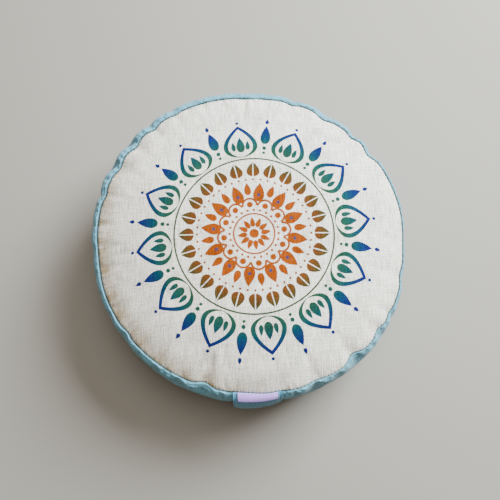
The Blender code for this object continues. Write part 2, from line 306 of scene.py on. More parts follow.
def turned(name, profile, columns):
    """A spun mesh, and for each of its points the row and column that it belongs to."""
    mesh = spun_mesh(name, profile, columns)
    points = points_of(mesh)
    radius = np.hypot(points[:, 0], points[:, 1])
    angle = np.degrees(np.arctan2(points[:, 1], points[:, 0])) % 360.0
    profile = np.array(profile)
    away = (radius[:, None] - profile[:, 0]) ** 2 + (points[:, 2:3] - profile[:, 1]) ** 2
    column = np.round(angle / 360.0 * columns).astype(int) % columns
    return Turned(mesh, profile, away.argmin(axis=1), column, column * 360.0 / columns)


def place_points(mesh, radius, angle, height):
    turn = np.radians(angle)
    points = np.stack([radius * np.cos(turn), radius * np.sin(turn), height], axis=1)
    mesh.vertices.foreach_set("co", points.ravel())
    mesh.update()


# %% [markdown]
# Three curves give the outline: the crown of the top, the squarish side and the base, flat
# where it rests. The simulation and the finished pieces take their rows from the same curves.

# %% The three curves
def crown_point(share):
    """A point of the top, at a share of the seam's radius from the axis."""
    return share * SEAM_RADIUS, TOP_SEAM_HEIGHT + CROWN * (1.0 - share**CROWN_POWER)


def squarish(climb, power):
    """Shares out and up of a half oval: 90 degrees is its top, 0 its widest and -90 its foot."""
    turn = math.radians(abs(climb))
    out = max(math.cos(turn), 0.0) ** (2.0 / power)
    return out, math.copysign(math.sin(turn) ** (2.0 / power), climb)


def side_point(climb):
    """A point of the side: 90 is the top seam, 0 the middle and -90 the base seam."""
    out, rise = squarish(climb, SHOULDER)
    return SEAM_RADIUS + out * BULGE, MIDDLE_HEIGHT + rise * HALF_HEIGHT


def rest_point(share):
    """A point of the base, at a share of the way from its flat part to the seam."""
    share = max(share, 0.0)
    return REST_RADIUS + share * (SEAM_RADIUS - REST_RADIUS), BASE_SEAM_HEIGHT * share**REST_POWER


# %% [markdown]
# ## Puffing up the cloth
# Between the puckers the cloth wrinkles where more of it was sewn in than the seam is long.
# Those wrinkles are hard to draw but easy to simulate. A skin of the panels and the band is
# held along both seams, and told how much longer the band's cloth is than the place where it
# lies: 7 in 100 at the seams, and 1 in 100 at the cushion's widest. Pressure does the rest in
# 20 frames. Only the moves are kept, to be used on every finished piece.

# %% The skin that is simulated
SKIN_COLUMNS = 360
TOP_SHARES = np.linspace(0.5, 1.0, 29)
SIDE_CLIMBS = np.linspace(90.0, -90.0, 37)
BASE_SHARES = np.linspace(1.0, 0.0, 10)
BAND_EASE = 1.075  # the band's cut length, for each length of seam
TOP_EASE = 1.012  # the same for the panels
TOP_EASE_FADE = 30.0 * MM  # how far in from the seam a panel's spare cloth is spread
RIPPLE = 0.15 * MM  # tiny dents that the wrinkles start from
RIPPLE_TURNS = (19, 31, 43)  # waves round the cushion
RIPPLE_FADE = 20.0 * MM  # how far from a seam they reach
MOST_MOVED = 4.0 * MM
FRAMES = 20


def skin_profile():
    top = [crown_point(share) for share in TOP_SHARES]
    side = [side_point(climb) for climb in SIDE_CLIMBS[1:-1]]
    base = [rest_point(share) for share in BASE_SHARES]
    return top + side + base


def spare_cloth(skin):
    """By what share the cloth at each point is longer than its place is."""
    radius = skin.profile[skin.row, 0]
    on_band = radius > SEAM_RADIUS + EDGE_MARGIN
    in_panel = (TOP_EASE - 1.0) * np.exp(-np.abs(SEAM_RADIUS - radius) / TOP_EASE_FADE)
    return np.where(on_band, SEAM_RADIUS * BAND_EASE / radius - 1.0, in_panel)


def held_points(skin):
    """The points that keep their place: both seams and the skin's inner rims."""
    rows = len(skin.profile)
    top_seam = len(TOP_SHARES) - 1
    base_seam = rows - len(BASE_SHARES)
    return [int(i) for i in np.flatnonzero(np.isin(skin.row, (0, top_seam, base_seam, rows - 1)))]


def rippled(radius, angle, height):
    """The tiny dents, in metres outwards. They fade away from the seams."""
    from_seam = np.minimum(abs(height - TOP_SEAM_HEIGHT), abs(height - BASE_SEAM_HEIGHT))
    from_seam = np.where(radius < SEAM_RADIUS, SEAM_RADIUS - radius, from_seam)
    waves = sum(np.sin(turns * np.radians(angle)) for turns in RIPPLE_TURNS)
    return RIPPLE * waves * fade(from_seam, RIPPLE_FADE)


# %% Simulate the cloth
def cloth_on(holder, most_spare):
    """Blender's cloth, held at the group "held". Where the group "taut" is 0, the cloth is
    longer than its place by the most spare share, and where it is 1 by nothing."""
    cloth = holder.modifiers.new("Cloth", "CLOTH")
    settings = cloth.settings
    settings.vertex_group_mass = "held"
    settings.vertex_group_shrink = "taut"
    settings.shrink_min = -most_spare
    settings.shrink_max = 0.0
    settings.quality = 6
    settings.mass = 0.3
    settings.tension_stiffness = 30.0
    settings.compression_stiffness = 30.0
    settings.shear_stiffness = 8.0
    settings.bending_stiffness = 20.0
    settings.use_pressure = True
    settings.uniform_pressure_force = 40.0
    settings.effector_weights.gravity = 0.0
    cloth.collision_settings.use_collision = False
    cloth.point_cache.frame_start = 1
    cloth.point_cache.frame_end = FRAMES


def puffed_moves():
    """How far each point of the skin moves, as rows and columns of (out, round, up)."""
    skin = turned("skin", skin_profile(), SKIN_COLUMNS)
    even_radius, even_height = skin.profile[skin.row].T
    radius, height = gathered(even_radius, skin.angle, even_height)
    place_points(skin.mesh, radius, skin.angle, height)
    start = points_of(skin.mesh)
    held = held_points(skin)
    ripple = rippled(even_radius, skin.angle, even_height)
    ripple[held] = 0.0
    place_points(skin.mesh, radius + ripple, skin.angle, height)
    holder = bpy.data.objects.new("skin", skin.mesh)
    bpy.context.scene.collection.objects.link(holder)
    holder.vertex_groups.new(name="held").add(held, 1.0, "REPLACE")
    spare = spare_cloth(skin)
    taut = holder.vertex_groups.new(name="taut")
    for row in range(len(skin.profile)):
        members = np.flatnonzero(skin.row == row)
        taut.add([int(i) for i in members], 1.0 - spare[members[0]] / spare.max(), "REPLACE")
    cloth_on(holder, spare.max())
    for step in range(1, FRAMES + 1):
        bpy.context.scene.frame_set(step)
    puffed = points_of(holder.evaluated_get(bpy.context.evaluated_depsgraph_get()).data)
    bpy.context.scene.frame_set(1)
    bpy.data.objects.remove(holder)

    move = puffed - start
    length = np.linalg.norm(move, axis=1, keepdims=True)
    move *= MOST_MOVED / np.maximum(length, MOST_MOVED)
    turn = np.radians(skin.angle)
    out = move[:, 0] * np.cos(turn) + move[:, 1] * np.sin(turn)
    around = move[:, 1] * np.cos(turn) - move[:, 0] * np.sin(turn)
    grid = np.zeros((len(skin.profile), SKIN_COLUMNS, 3))
    grid[skin.row, skin.column] = np.stack([out, around, move[:, 2]], axis=1)
    print("puffed up: moved", round(length.mean() / MM, 2), "mm on average")
    return grid


moves = puffed_moves()

# %% [markdown]
# ## Using the moves on finer pieces
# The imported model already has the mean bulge, so only the unevenness of each ring is kept. It
# fades out under the strap, where the hand goes through, and tables say where the panels and
# the shoulder were gathered more. A finished piece has other rows and three times as many
# columns. Along a ring, a Fourier transform gives the smoothest periodic curve through the
# moves, and between rings a Catmull-Rom curve does.

# %% Moves at any place
COLUMNS = 1080  # of the finished pieces: about 1 mm of seam each
TOP_SEAM_ROW = len(TOP_SHARES) - 1
BASE_SEAM_ROW = TOP_SEAM_ROW + len(SIDE_CLIMBS) - 1
STRAP_CALM = 0.9  # share of the moves that is taken away under the strap
PANEL_KEPT = 0.8  # share of the unevenness that the panels keep
WALL_CLIMBS_KEPT = (-90.0, -60.0, -30.0, 0.0, 30.0, 60.0, 90.0)
WALL_KEPT = (1.6, 1.8, 1.3, 0.7, 0.3, 0.3, 0.3)  # the same on the side, least at the top seam

Full = namedtuple("Full", "angle spread strength")  # degrees, degrees, share
PANEL_FULL = [Full(90.0, 17.0, 1.7), Full(195.0, 45.0, 0.7), Full(264.0, 27.0, 1.6)]
PANEL_LEAST = 0.6
SHOULDER_FULL = [
    Full(52.0, 16.0, 0.8),
    Full(143.0, 22.0, 2.4),
    Full(244.0, 12.0, 1.6),
    Full(287.0, 11.0, 2.2),
    Full(318.0, 12.0, 1.4),
]
SHOULDER_CLIMB = 30.0  # degrees, from where the side counts as shoulder


def fullness(angle, places):
    """How strongly the cloth is gathered at each angle, beyond its least."""
    return sum(row.strength * bell(angle, row.angle, row.spread) for row in places)


moves = (moves - moves.mean(axis=1, keepdims=True)) * PANEL_KEPT
skin_angles = np.arange(SKIN_COLUMNS) * 360.0 / SKIN_COLUMNS
moves *= (1.0 - STRAP_CALM * strap_share(skin_angles))[None, :, None]
moves[:TOP_SEAM_ROW] *= (PANEL_LEAST + fullness(skin_angles, PANEL_FULL))[None, :, None]
wall_rows = slice(TOP_SEAM_ROW, BASE_SEAM_ROW + 1)
wall_kept = np.interp(SIDE_CLIMBS, WALL_CLIMBS_KEPT, WALL_KEPT) / PANEL_KEPT
on_shoulder = np.clip(SIDE_CLIMBS / SHOULDER_CLIMB, 0.0, 1.0)
fuller = 1.0 + on_shoulder[:, None] * fullness(skin_angles, SHOULDER_FULL)
moves[wall_rows] *= (wall_kept[:, None] * fuller)[:, :, None]
moves = np.fft.irfft(np.fft.rfft(moves, axis=1), n=COLUMNS, axis=1) * COLUMNS / SKIN_COLUMNS


def skin_row(radius, height):
    """The skin's row that a point of the even cushion lies on. It may be between two rows."""
    if radius > SEAM_RADIUS + EDGE_MARGIN:
        out = min((radius - SEAM_RADIUS) / BULGE, 1.0)
        rise = min(abs(height - MIDDLE_HEIGHT) / HALF_HEIGHT, 1.0)
        climb = math.degrees(math.atan2(rise ** (SHOULDER / 2), out ** (SHOULDER / 2)))
        climb = math.copysign(climb, height - MIDDLE_HEIGHT)
        return TOP_SEAM_ROW + (90.0 - climb) / 180.0 * (len(SIDE_CLIMBS) - 1)
    if height > MIDDLE_HEIGHT:
        share = (radius / SEAM_RADIUS - TOP_SHARES[0]) / (1.0 - TOP_SHARES[0])
        return max(share, 0.0) * TOP_SEAM_ROW
    share = max((radius - REST_RADIUS) / (SEAM_RADIUS - REST_RADIUS), 0.0)
    return BASE_SEAM_ROW + (1.0 - share) * (len(BASE_SHARES) - 1)


def moves_at(place):
    """The moves of a whole ring at a row that may be between two of the skin's rows."""
    row = min(int(place), len(moves) - 2)
    share = place - row
    last = len(moves) - 1
    before, start, end, after = (moves[min(max(row + k, 0), last)] for k in (-1, 0, 1, 2))
    bend = 2 * before - 5 * start + 4 * end - after
    twist = 3 * (start - end) + after - before
    return start + 0.5 * share * (end - before + share * (bend + share * twist))


def settle(piece):
    """Gathers and puffs up a turned piece, and returns its points' radius, angle and height."""
    even_radius, even_height = piece.profile[piece.row].T
    radius, height = gathered(even_radius, piece.angle, even_height)
    rings = np.array([moves_at(skin_row(*point)) for point in piece.profile])
    out, around, up = rings[piece.row, piece.column].T
    angle = piece.angle + np.degrees(around / SEAM_RADIUS)
    resting = even_height <= 0.0
    return radius + out, angle, np.where(resting, height, np.maximum(height + up, 0.0))


# %% [markdown]
# ## The stitched seam
# Panel and band are sewn right sides together and turned out, which hides the thread. What
# shows is a crevice with a small pinch at each stitch, and beside it the band's edge, rolled
# over its seam allowance into a narrow lip. Four columns to a stitch are the least that gives
# a round dent. The first table is the panel's edge as it turns down into the crevice, and the
# second the lip as it comes out of it.

# %% Stitch pinches
STITCH_COLUMNS = 4
PINCH_DOWN = 0.7 * MM
PINCH_IN = 0.4 * MM
CrevicePoint = namedtuple("CrevicePoint", "beyond below pinch")  # mm, mm, share
PANEL_EDGE = [
    CrevicePoint(-2.6, -0.95, 0.1),
    CrevicePoint(-1.8, -0.55, 0.3),
    CrevicePoint(-1.2, -0.1, 0.7),
    CrevicePoint(-0.75, 0.6, 1.0),
    CrevicePoint(-0.55, 1.5, 0.6),
]
LIP = [
    CrevicePoint(0.0, 1.7, 0.3),
    CrevicePoint(0.2, 1.0, 0.8),
    CrevicePoint(0.6, 0.35, 1.0),
    CrevicePoint(1.2, 0.0, 0.6),
    CrevicePoint(1.8, 0.0, 0.3),
    CrevicePoint(2.4, 0.35, 0.2),
    CrevicePoint(2.9, 1.15, 0.15),
    CrevicePoint(3.4, 1.7, 0.1),
]


def at_seam(point, on_top):
    """A crevice point as (radius, height) of the even cushion."""
    seam, down = (TOP_SEAM_HEIGHT, -1.0) if on_top else (BASE_SEAM_HEIGHT, 1.0)
    return SEAM_RADIUS + point.beyond * MM, seam + down * point.below * MM


def crevice_shares(piece, points):
    """For each point of a piece, how much it belongs to the crevice."""
    shares = np.zeros(len(piece.profile))
    for on_top in (True, False):
        for point in points:
            away = np.abs(piece.profile - at_seam(point, on_top)).sum(axis=1)
            shares[away < EDGE_MARGIN] = point.pinch
    return shares[piece.row]


def pinched(piece, radius, height, points):
    """Pulls the rings of a piece that are crevice points in and down at each stitch."""
    wave = 0.5 + 0.5 * np.cos(math.tau * piece.column / STITCH_COLUMNS)
    pull = wave * crevice_shares(piece, points)
    inwards = np.where(height > MIDDLE_HEIGHT, -1.0, 1.0)
    return radius - PINCH_IN * pull, height + inwards * PINCH_DOWN * pull


print("stitches round each seam:", COLUMNS // STITCH_COLUMNS)

# %% [markdown]
# ## The filled body and its band
# The body is one closed form: the band all round, and the filling's bulge under each panel. Its
# cloth map runs round the cushion and along the profile, in metres, so a weave on it keeps its
# real size. The map's two ends meet behind the strap, where a maker would join the band too.

# %% Profiles inside the panels
HIDDEN_SHARES = (0.0, 0.36, 0.62, 0.82, 0.93, 0.975)  # rows that nobody sees
HIDDEN_REST_SHARES = (0.0, 0.35, 0.68, 0.9)


def sunk(path, depth):
    """A panel's path moved into the cushion by a depth."""
    inwards = 1.0 if path[0][1] < MIDDLE_HEIGHT else -1.0
    return [(radius, height + inwards * depth) for radius, height in path]


def under_crown():
    """The inner side of the top panel, from the axis to its edge."""
    path = [crown_point(share) for share in HIDDEN_SHARES]
    path.append((PANEL_RADIUS, TOP_SEAM_HEIGHT - SEAM_DIP))
    return sunk(path, PANEL_THICKNESS)


def over_rest():
    """The inner side of the base panel, from the axis to its edge."""
    path = [(0.0, 0.0)] + [rest_point(share) for share in HIDDEN_REST_SHARES]
    path.append((PANEL_RADIUS, BASE_SEAM_HEIGHT + SEAM_DIP))
    return sunk(path, PANEL_THICKNESS)


def facing(path):
    """The body's side that lies a gap away from a panel's inner side, out to the seam."""
    moved = sunk(path, GAP)
    return moved + [(SEAM_RADIUS, moved[-1][1])]


# %% The body
WALL_CLIMBS = (72, 66, 60, 54, 48, 42, 36, 30, 24, 18, 12, 6, 0)


def body_profile():
    lip = [at_seam(point, True) for point in LIP]
    base_lip = [at_seam(point, False) for point in LIP]
    climbs = list(WALL_CLIMBS) + [-climb for climb in reversed(WALL_CLIMBS[:-1])]
    wall = [side_point(climb) for climb in climbs]
    return facing(under_crown()) + lip + wall + base_lip[::-1] + facing(over_rest())[::-1]


def way_along(path):
    """How far along a path each of its points is."""
    steps = np.linalg.norm(np.diff(path, axis=0), axis=1)
    return np.concatenate([[0.0], np.cumsum(steps)])


def lay_cloth_map(piece, radius):
    """A UV map in metres: round the cushion from behind the strap, and along the profile."""
    mesh = piece.mesh
    along = way_along(piece.profile)[piece.row]
    corner = values_of(mesh.loops, "vertex_index", kind=int)
    counts = values_of(mesh.polygons, "loop_total", kind=int)
    first = np.concatenate([[0], np.cumsum(counts)[:-1]])
    angle = (piece.angle[corner] - STRAP_ANGLE) % 360.0
    face_angle = np.repeat(angle[first], counts)
    angle += 360.0 * np.round((face_angle - angle) / 360.0)
    uv = np.stack([np.radians(angle) * radius, along[corner]], axis=1)
    mesh.uv_layers.new(name="cloth").data.foreach_set("uv", uv.ravel())


def crevice_places(profile):
    """How far along the body's profile its two crevices are, in mm."""
    way = way_along(profile) / MM
    away = [np.abs(profile - at_seam(LIP[0], on_top)).sum(axis=1) for on_top in (True, False)]
    return [way[distance.argmin()] for distance in away]


def add_piece(name, mesh):
    piece = bpy.data.objects.new(name, mesh)
    bpy.context.scene.collection.objects.link(piece)
    mesh.shade_smooth()
    print(name, "has", len(mesh.polygons), "faces")
    return piece


body = turned("band_and_filling", body_profile(), COLUMNS)
radius, angle, height = settle(body)
radius, height = pinched(body, radius, height, LIP)
place_points(body.mesh, radius, angle, height)
lay_cloth_map(body, SEAM_RADIUS + BULGE)
band = add_piece("band_and_filling", body.mesh)

# %% [markdown]
# ## The two panels
# Each panel is a disc of cloth with real thickness, closed round its edge. Rows lie close
# together near the seam, where the gathers and the pinches are, and far apart in the middle.

# %% The panels
TOP_ROWS = 34
BASE_ROWS = 12
CROWDING = 1.6  # exponent: above 1, the rows lie closer towards the seam
EDGE_TURN = 4.0 * MM  # from the seam to where the edge starts to turn down
OVERHANG = 0.7 * MM  # at the front the panel's edge reaches over the crevice
OVERHANG_SPREAD = 55.0  # degrees


def crowded(count, end):
    """Shares from 0 to the end, closer together near it."""
    return [end * (1.0 - (1.0 - k / count) ** CROWDING) for k in range(count + 1)]


def top_profile():
    end = 1.0 - EDGE_TURN / SEAM_RADIUS
    upper = [crown_point(share) for share in crowded(TOP_ROWS, end)]
    return upper + [at_seam(point, True) for point in PANEL_EDGE] + under_crown()[::-1]


def base_profile():
    end = 1.0 - EDGE_TURN / (SEAM_RADIUS - REST_RADIUS)
    lower = [(0.0, 0.0), (0.5 * REST_RADIUS, 0.0)]
    lower += [rest_point(end * k / BASE_ROWS) for k in range(BASE_ROWS + 1)]
    return lower + [at_seam(point, False) for point in PANEL_EDGE] + over_rest()[::-1]


def panel(name, profile):
    disc = turned(name, profile, COLUMNS)
    radius, angle, height = settle(disc)
    radius, height = pinched(disc, radius, height, PANEL_EDGE)
    front = bell(disc.angle, STRAP_ANGLE, OVERHANG_SPREAD)
    radius = radius + OVERHANG * front * crevice_shares(disc, PANEL_EDGE)
    place_points(disc.mesh, radius, angle, height)
    return add_piece(name, disc.mesh)


top = panel("top_cloth", top_profile())
base = panel("base_cloth", base_profile())

# %% [markdown]
# ## The strap
# The carry strap is a folded length of the same linen, caught in both seams and hanging free
# between them. A flat slab gets a rounded rim, and its points are then laid on a curve from the
# top seam, outwards and down to the base seam. Its right edge leans towards the band and its
# left edge curls in a little. The slab's own flat coordinates become its cloth map.

# %% Bend a slab along a path
STRAP_SEAM_RADIUS = 164.8 * MM  # of its ends, before they are moved to the puckered seam
STRAP_BULGE = 18.0 * MM  # the strap's middle surface, beyond the seams
STRAP_WIDEST_HEIGHT = 44.0 * MM
STRAP_SHOULDER = 2.6
STRAP_SEAM_REACH = 7.0 * MM  # this near to the seam, the strap follows its puckers
STRAP_START = 0.2 * MM  # how far beyond the seam its ends are
STRAP_SUNK = 0.8 * MM  # how far its ends are below the top seam and above the base seam
STRAP_LEAN = 4.6 * MM  # the strap's right edge hangs this much nearer to the band
STRAP_CURL = 1.0 * MM  # and its left edge curls in by this much
CURL_START = 0.36  # share of the width from the middle, where the curl begins
RIM_ROUND = 0.4  # share of a slab's thickness by which its rim is rounded
Strip = namedtuple("Strip", "width length thickness columns rows")


def strap_path():
    """The middle of the strap's thickness, as (beyond the seam, height), top end first."""
    above = TOP_SEAM_HEIGHT - STRAP_SUNK - STRAP_WIDEST_HEIGHT
    below = STRAP_WIDEST_HEIGHT - BASE_SEAM_HEIGHT - STRAP_SUNK
    path = []
    for climb in range(90, -91, -3):
        out, rise = squarish(climb, STRAP_SHOULDER)
        beyond = STRAP_START + out * (STRAP_BULGE - STRAP_START)
        path.append((beyond, STRAP_WIDEST_HEIGHT + rise * (above if rise > 0.0 else below)))
    return np.array(path)


def along_path(path, distance, lift):
    """Points at a distance along a path, lifted square to it towards the outside."""
    way = way_along(path)
    slope = np.gradient(path, way, axis=0)
    slope /= np.linalg.norm(slope, axis=1, keepdims=True)
    out, height, run, climb = (np.interp(distance, way, part) for part in (*path.T, *slope.T))
    return out - climb * lift, height + run * lift


def slab(name, strip):
    """A flat strip with a rounded rim: x across it, y along it from 0, z through it."""
    work = bmesh.new()
    bmesh.ops.create_grid(work, x_segments=strip.columns, y_segments=strip.rows, size=0.5)
    bmesh.ops.translate(work, verts=work.verts, vec=(0.0, 0.5, 0.0))
    bmesh.ops.scale(work, verts=work.verts, vec=(strip.width, strip.length, 1.0))
    under = bmesh.ops.extrude_face_region(work, geom=work.faces[:])["geom"]
    moved = [item for item in under if isinstance(item, bmesh.types.BMVert)]
    bmesh.ops.translate(work, verts=moved, vec=(0.0, 0.0, strip.thickness))
    bmesh.ops.translate(work, verts=work.verts, vec=(0.0, 0.0, -strip.thickness / 2))
    bmesh.ops.recalc_face_normals(work, faces=work.faces)
    rim = [edge for edge in work.edges if edge.calc_face_angle(0.0) > math.radians(45)]
    bmesh.ops.bevel(
        work, geom=rim, affect="EDGES", offset=RIM_ROUND * strip.thickness, segments=3,
        profile=0.5, material=-1,
    )
    return mesh_of(name, work)


def map_flat(mesh):
    """The slab's flat coordinates, in metres, as its cloth map."""
    uv = points_of(mesh)[values_of(mesh.loops, "vertex_index", kind=int)][:, :2]
    mesh.uv_layers.new(name="cloth").data.foreach_set("uv", uv.ravel())


def lay_round(mesh, path, lift):
    """Lays a slab along a path on the cushion's front, at the strap's angle."""
    across, along, through = points_of(mesh).T
    beyond, height = along_path(path, along, through + lift)
    belly = np.clip(beyond / STRAP_BULGE, 0.0, 1.0)
    beyond = beyond - STRAP_LEAN * belly * np.clip(across / STRAP_WIDTH + 0.5, 0.0, 1.0) ** 3
    curled = np.clip((-across / STRAP_WIDTH - CURL_START) / (0.5 - CURL_START), 0.0, 1.0)
    beyond = beyond - STRAP_CURL * belly * curled**2
    radius = STRAP_SEAM_RADIUS + beyond
    angle = STRAP_ANGLE + np.degrees(across / radius)
    seam = SEAM_RADIUS + wave_sum(OUT_OF_ROUND, angle)
    seam -= pucker_depth(angle, height > MIDDLE_HEIGHT)
    radius += fade(beyond, STRAP_SEAM_REACH) * (seam - STRAP_SEAM_RADIUS)
    place_points(mesh, radius, angle, height)


# %% [markdown]
# Two lines of stitching run along the strap. The thread pulls each into a shallow groove, which
# is pressed into the flat slab first. The stitches are small flattened balls in the grooves.

# %% The strap and its stitches
STRAP_THICKNESS = 2.4 * MM
STITCH_INSET = 3.6 * MM  # from the strap's edge to its line of stitches
GROOVE_DEPTH = 0.35 * MM
GROOVE_WIDTH = 0.9 * MM
STITCH_SUNK = 0.8  # share of the groove's depth
STRAP_PATH = strap_path()
STRAP_LENGTH = float(np.linalg.norm(np.diff(STRAP_PATH, axis=0), axis=1).sum())
THREAD_PITCH = 3.4 * MM
Stitch = namedtuple("Stitch", "length width height")
STRAP_STITCH = Stitch(2.5 * MM, 0.55 * MM, 0.4 * MM)


def laid_slab(name, strip, lines, groove_depth, lift):
    """A slab with grooves along y in both faces, at each x of the lines, laid on the front."""
    mesh = slab(name, strip)
    map_flat(mesh)
    points = points_of(mesh)
    for line in lines:
        share = fade(points[:, 0] - line, GROOVE_WIDTH)
        points[:, 2] -= np.sign(points[:, 2]) * groove_depth * share
    mesh.vertices.foreach_set("co", points.ravel())
    lay_round(mesh, STRAP_PATH, lift)
    return add_piece(name, mesh)


def laid_stitches(name, stitch, places, lift):
    """Small flattened balls, each centred at a place (x, y, z) of a slab, laid with it."""
    work = bmesh.new()
    for place in places:
        ball = bmesh.ops.create_icosphere(work, subdivisions=2, radius=0.5)["verts"]
        bmesh.ops.scale(work, verts=ball, vec=(stitch.width, stitch.length, stitch.height))
        bmesh.ops.translate(work, verts=ball, vec=place)
    mesh = mesh_of(name, work)
    lay_round(mesh, STRAP_PATH, lift)
    return add_piece(name, mesh)


strap_strip = Strip(STRAP_WIDTH, STRAP_LENGTH, STRAP_THICKNESS, columns=104, rows=76)
strap_lines = [side * (STRAP_WIDTH / 2 - STITCH_INSET) for side in (-1, 1)]
strap = laid_slab("carry_strap", strap_strip, strap_lines, GROOVE_DEPTH, 0.0)

stitch_count = int(STRAP_LENGTH / THREAD_PITCH) - 2  # a pitch at each end stays free
stitch_places = [
    (line, (k + 1.5) * THREAD_PITCH, side * (STRAP_THICKNESS / 2 - STITCH_SUNK * GROOVE_DEPTH))
    for line in strap_lines for k in range(stitch_count) for side in (-1, 1)
]
strap_thread = laid_stitches("strap_stitches", STRAP_STITCH, stitch_places, 0.0)
print("the strap is", round(STRAP_LENGTH / MM), "mm long, with", stitch_count, "stitches a line")

# %% [markdown]
# ## The label
# A small woven label lies on the strap. Its upper edge is caught in the seam, its two ends are
# turned under and sewn down, and it is blank.

# %% The label
LABEL_WIDTH = 41.5 * MM
LABEL_HEIGHT = 8.4 * MM
LABEL_THICKNESS = 1.0 * MM
LABEL_LIFT = STRAP_THICKNESS / 2 + GAP + LABEL_THICKNESS / 2
LABEL_GROOVE_DEPTH = 0.12 * MM
LABEL_STITCH = Stitch(1.3 * MM, 0.3 * MM, 0.25 * MM)
LABEL_STITCH_INSET = 1.6 * MM
LABEL_STITCH_SUNK = 0.05 * MM
LABEL_STITCHES = 4
LABEL_PITCH = 1.7 * MM
LABEL_FIRST = 0.8  # pitches from the seam to the first stitch

label_strip = Strip(LABEL_WIDTH, LABEL_HEIGHT, LABEL_THICKNESS, columns=60, rows=14)
label_lines = [side * (LABEL_WIDTH / 2 - LABEL_STITCH_INSET) for side in (-1, 1)]
label = laid_slab("blank_label", label_strip, label_lines, LABEL_GROOVE_DEPTH, LABEL_LIFT)

label_places = [
    (line, (k + LABEL_FIRST) * LABEL_PITCH, LABEL_THICKNESS / 2 - LABEL_STITCH_SUNK)
    for line in label_lines for k in range(LABEL_STITCHES)
]
label_thread = laid_stitches("label_stitches", LABEL_STITCH, label_places, LABEL_LIFT)

# %% [markdown]
# ## Shader arithmetic
# The weaves and the print are formulas on a point's coordinates. A formula in a material is a
# chain of Math nodes, which is long to write and hard to read. So a small class stands for a
# value in a material, and a pattern then reads like ordinary arithmetic, in millimetres.

# %% Signals
def feed(socket, value):
    """Gives an input a plain value, or links a signal or another node's output to it."""
    if isinstance(value, Signal):
        value = value.socket
    if isinstance(value, bpy.types.NodeSocket):
        socket.id_data.links.new(value, socket)
    else:
        socket.default_value = value


def set_inputs(node, settings):
    for name, value in settings.items():
        feed(node.inputs[name], value)


class Signal:
    """A value in a material. Each operation on it adds one node and gives a new signal."""

    def __init__(self, socket):
        self.socket = socket

    def through(self, operation, *others):
        node = self.socket.id_data.nodes.new("ShaderNodeMath")
        node.operation = operation
        for socket, value in zip(node.inputs, (self, *others)):
            feed(socket, value)
        return Signal(node.outputs[0])

    __add__ = partialmethod(through, "ADD")
    __sub__ = partialmethod(through, "SUBTRACT")
    __mul__ = partialmethod(through, "MULTIPLY")
    __truediv__ = partialmethod(through, "DIVIDE")
    __pow__ = partialmethod(through, "POWER")
    __abs__ = partialmethod(through, "ABSOLUTE")
    sin = partialmethod(through, "SINE")
    cos = partialmethod(through, "COSINE")
    least = partialmethod(through, "MINIMUM")
    most = partialmethod(through, "MAXIMUM")

    def between(self, start, end, low=0.0, high=1.0):
        """Rises smoothly from low to high while the value goes from start to end."""
        node = self.socket.id_data.nodes.new("ShaderNodeMapRange")
        node.interpolation_type = "SMOOTHSTEP"
        ends = {"From Min": start, "From Max": end, "To Min": low, "To Max": high}
        set_inputs(node, {"Value": self, **ends})
        return Signal(node.outputs["Result"])


def linear(red, green, blue):
    """A screen colour, 0 to 255, as the linear values that shaders use."""
    shares = (value / 255.0 for value in (red, green, blue))
    return tuple(s / 12.92 if s < 0.04045 else ((s + 0.055) / 1.055) ** 2.4 for s in shares)


MIX_COLOURS = slice(6, 8)  # where a Mix node has its two colours among its inputs
MIX_RESULT = 2  # and their mixture among its outputs
Grain = namedtuple("Grain", "along across offset detail", defaults=(2.0,))  # mm, mm


class Finish:
    """A cloth material under construction, with the nodes that the cloths share."""

    def __init__(self, name, roughness, sheen):
        self.material = bpy.data.materials.new(name)
        self.material.use_nodes = True
        self.tree = self.material.node_tree
        self.shader = self.tree.nodes["Principled BSDF"]
        set_inputs(self.shader, {"Roughness": roughness, "Specular IOR Level": 0.1})
        set_inputs(self.shader, {"Sheen Weight": sheen, "Sheen Roughness": 0.5})

    def place(self, output):
        """The point's coordinates in millimetres: Object ones, or UV for the cloth map."""
        coordinates = self.tree.nodes.new("ShaderNodeTexCoord")
        parts = self.tree.nodes.new("ShaderNodeSeparateXYZ")
        feed(parts.inputs[0], coordinates.outputs[output])
        return [Signal(socket) / MM for socket in parts.outputs]

    def noise(self, parts, detail=2.0):
        """Soft noise from 0 to 1. Each part is a coordinate divided by its grain's size."""
        vector = self.tree.nodes.new("ShaderNodeCombineXYZ")
        for socket, part in zip(vector.inputs, parts):
            feed(socket, part)
        node = self.tree.nodes.new("ShaderNodeTexNoise")
        set_inputs(node, {"Vector": vector.outputs[0], "Scale": 1.0, "Detail": detail})
        return Signal(node.outputs["Fac"])

    def grain(self, along, across, grain):
        """Noise as coarse as a grain. Its offset keeps it apart from other grains."""
        parts = (along / grain.along, across / grain.across, grain.offset)
        return self.noise(parts, grain.detail)

    def mix(self, share, first, second, blend="MIX"):
        """Mixes two colours, each a plain triple or another node's colour."""
        node = self.tree.nodes.new("ShaderNodeMix")
        node.data_type = "RGBA"
        node.blend_type = blend
        feed(node.inputs["Factor"], share)
        for socket, colour in zip(node.inputs[MIX_COLOURS], (first, second)):
            feed(socket, (*colour, 1.0) if isinstance(colour, tuple) else colour)
        return node.outputs[MIX_RESULT]

    def complete(self, colour, tone, height, depth):
        """Joins a colour, a grey tone on it, and a height from 0 to 1 as a bump, in metres."""
        grey = self.tree.nodes.new("ShaderNodeCombineColor")
        for socket in grey.inputs:
            feed(socket, tone)
        bump = self.tree.nodes.new("ShaderNodeBump")
        set_inputs(bump, {"Distance": depth, "Height": height})
        shaded = self.mix(1.0, colour, grey.outputs[0], "MULTIPLY")
        set_inputs(self.shader, {"Base Color": shaded, "Normal": bump.outputs[0]})
        print(self.material.name, "has", len(self.tree.nodes), "nodes")
        return self.material


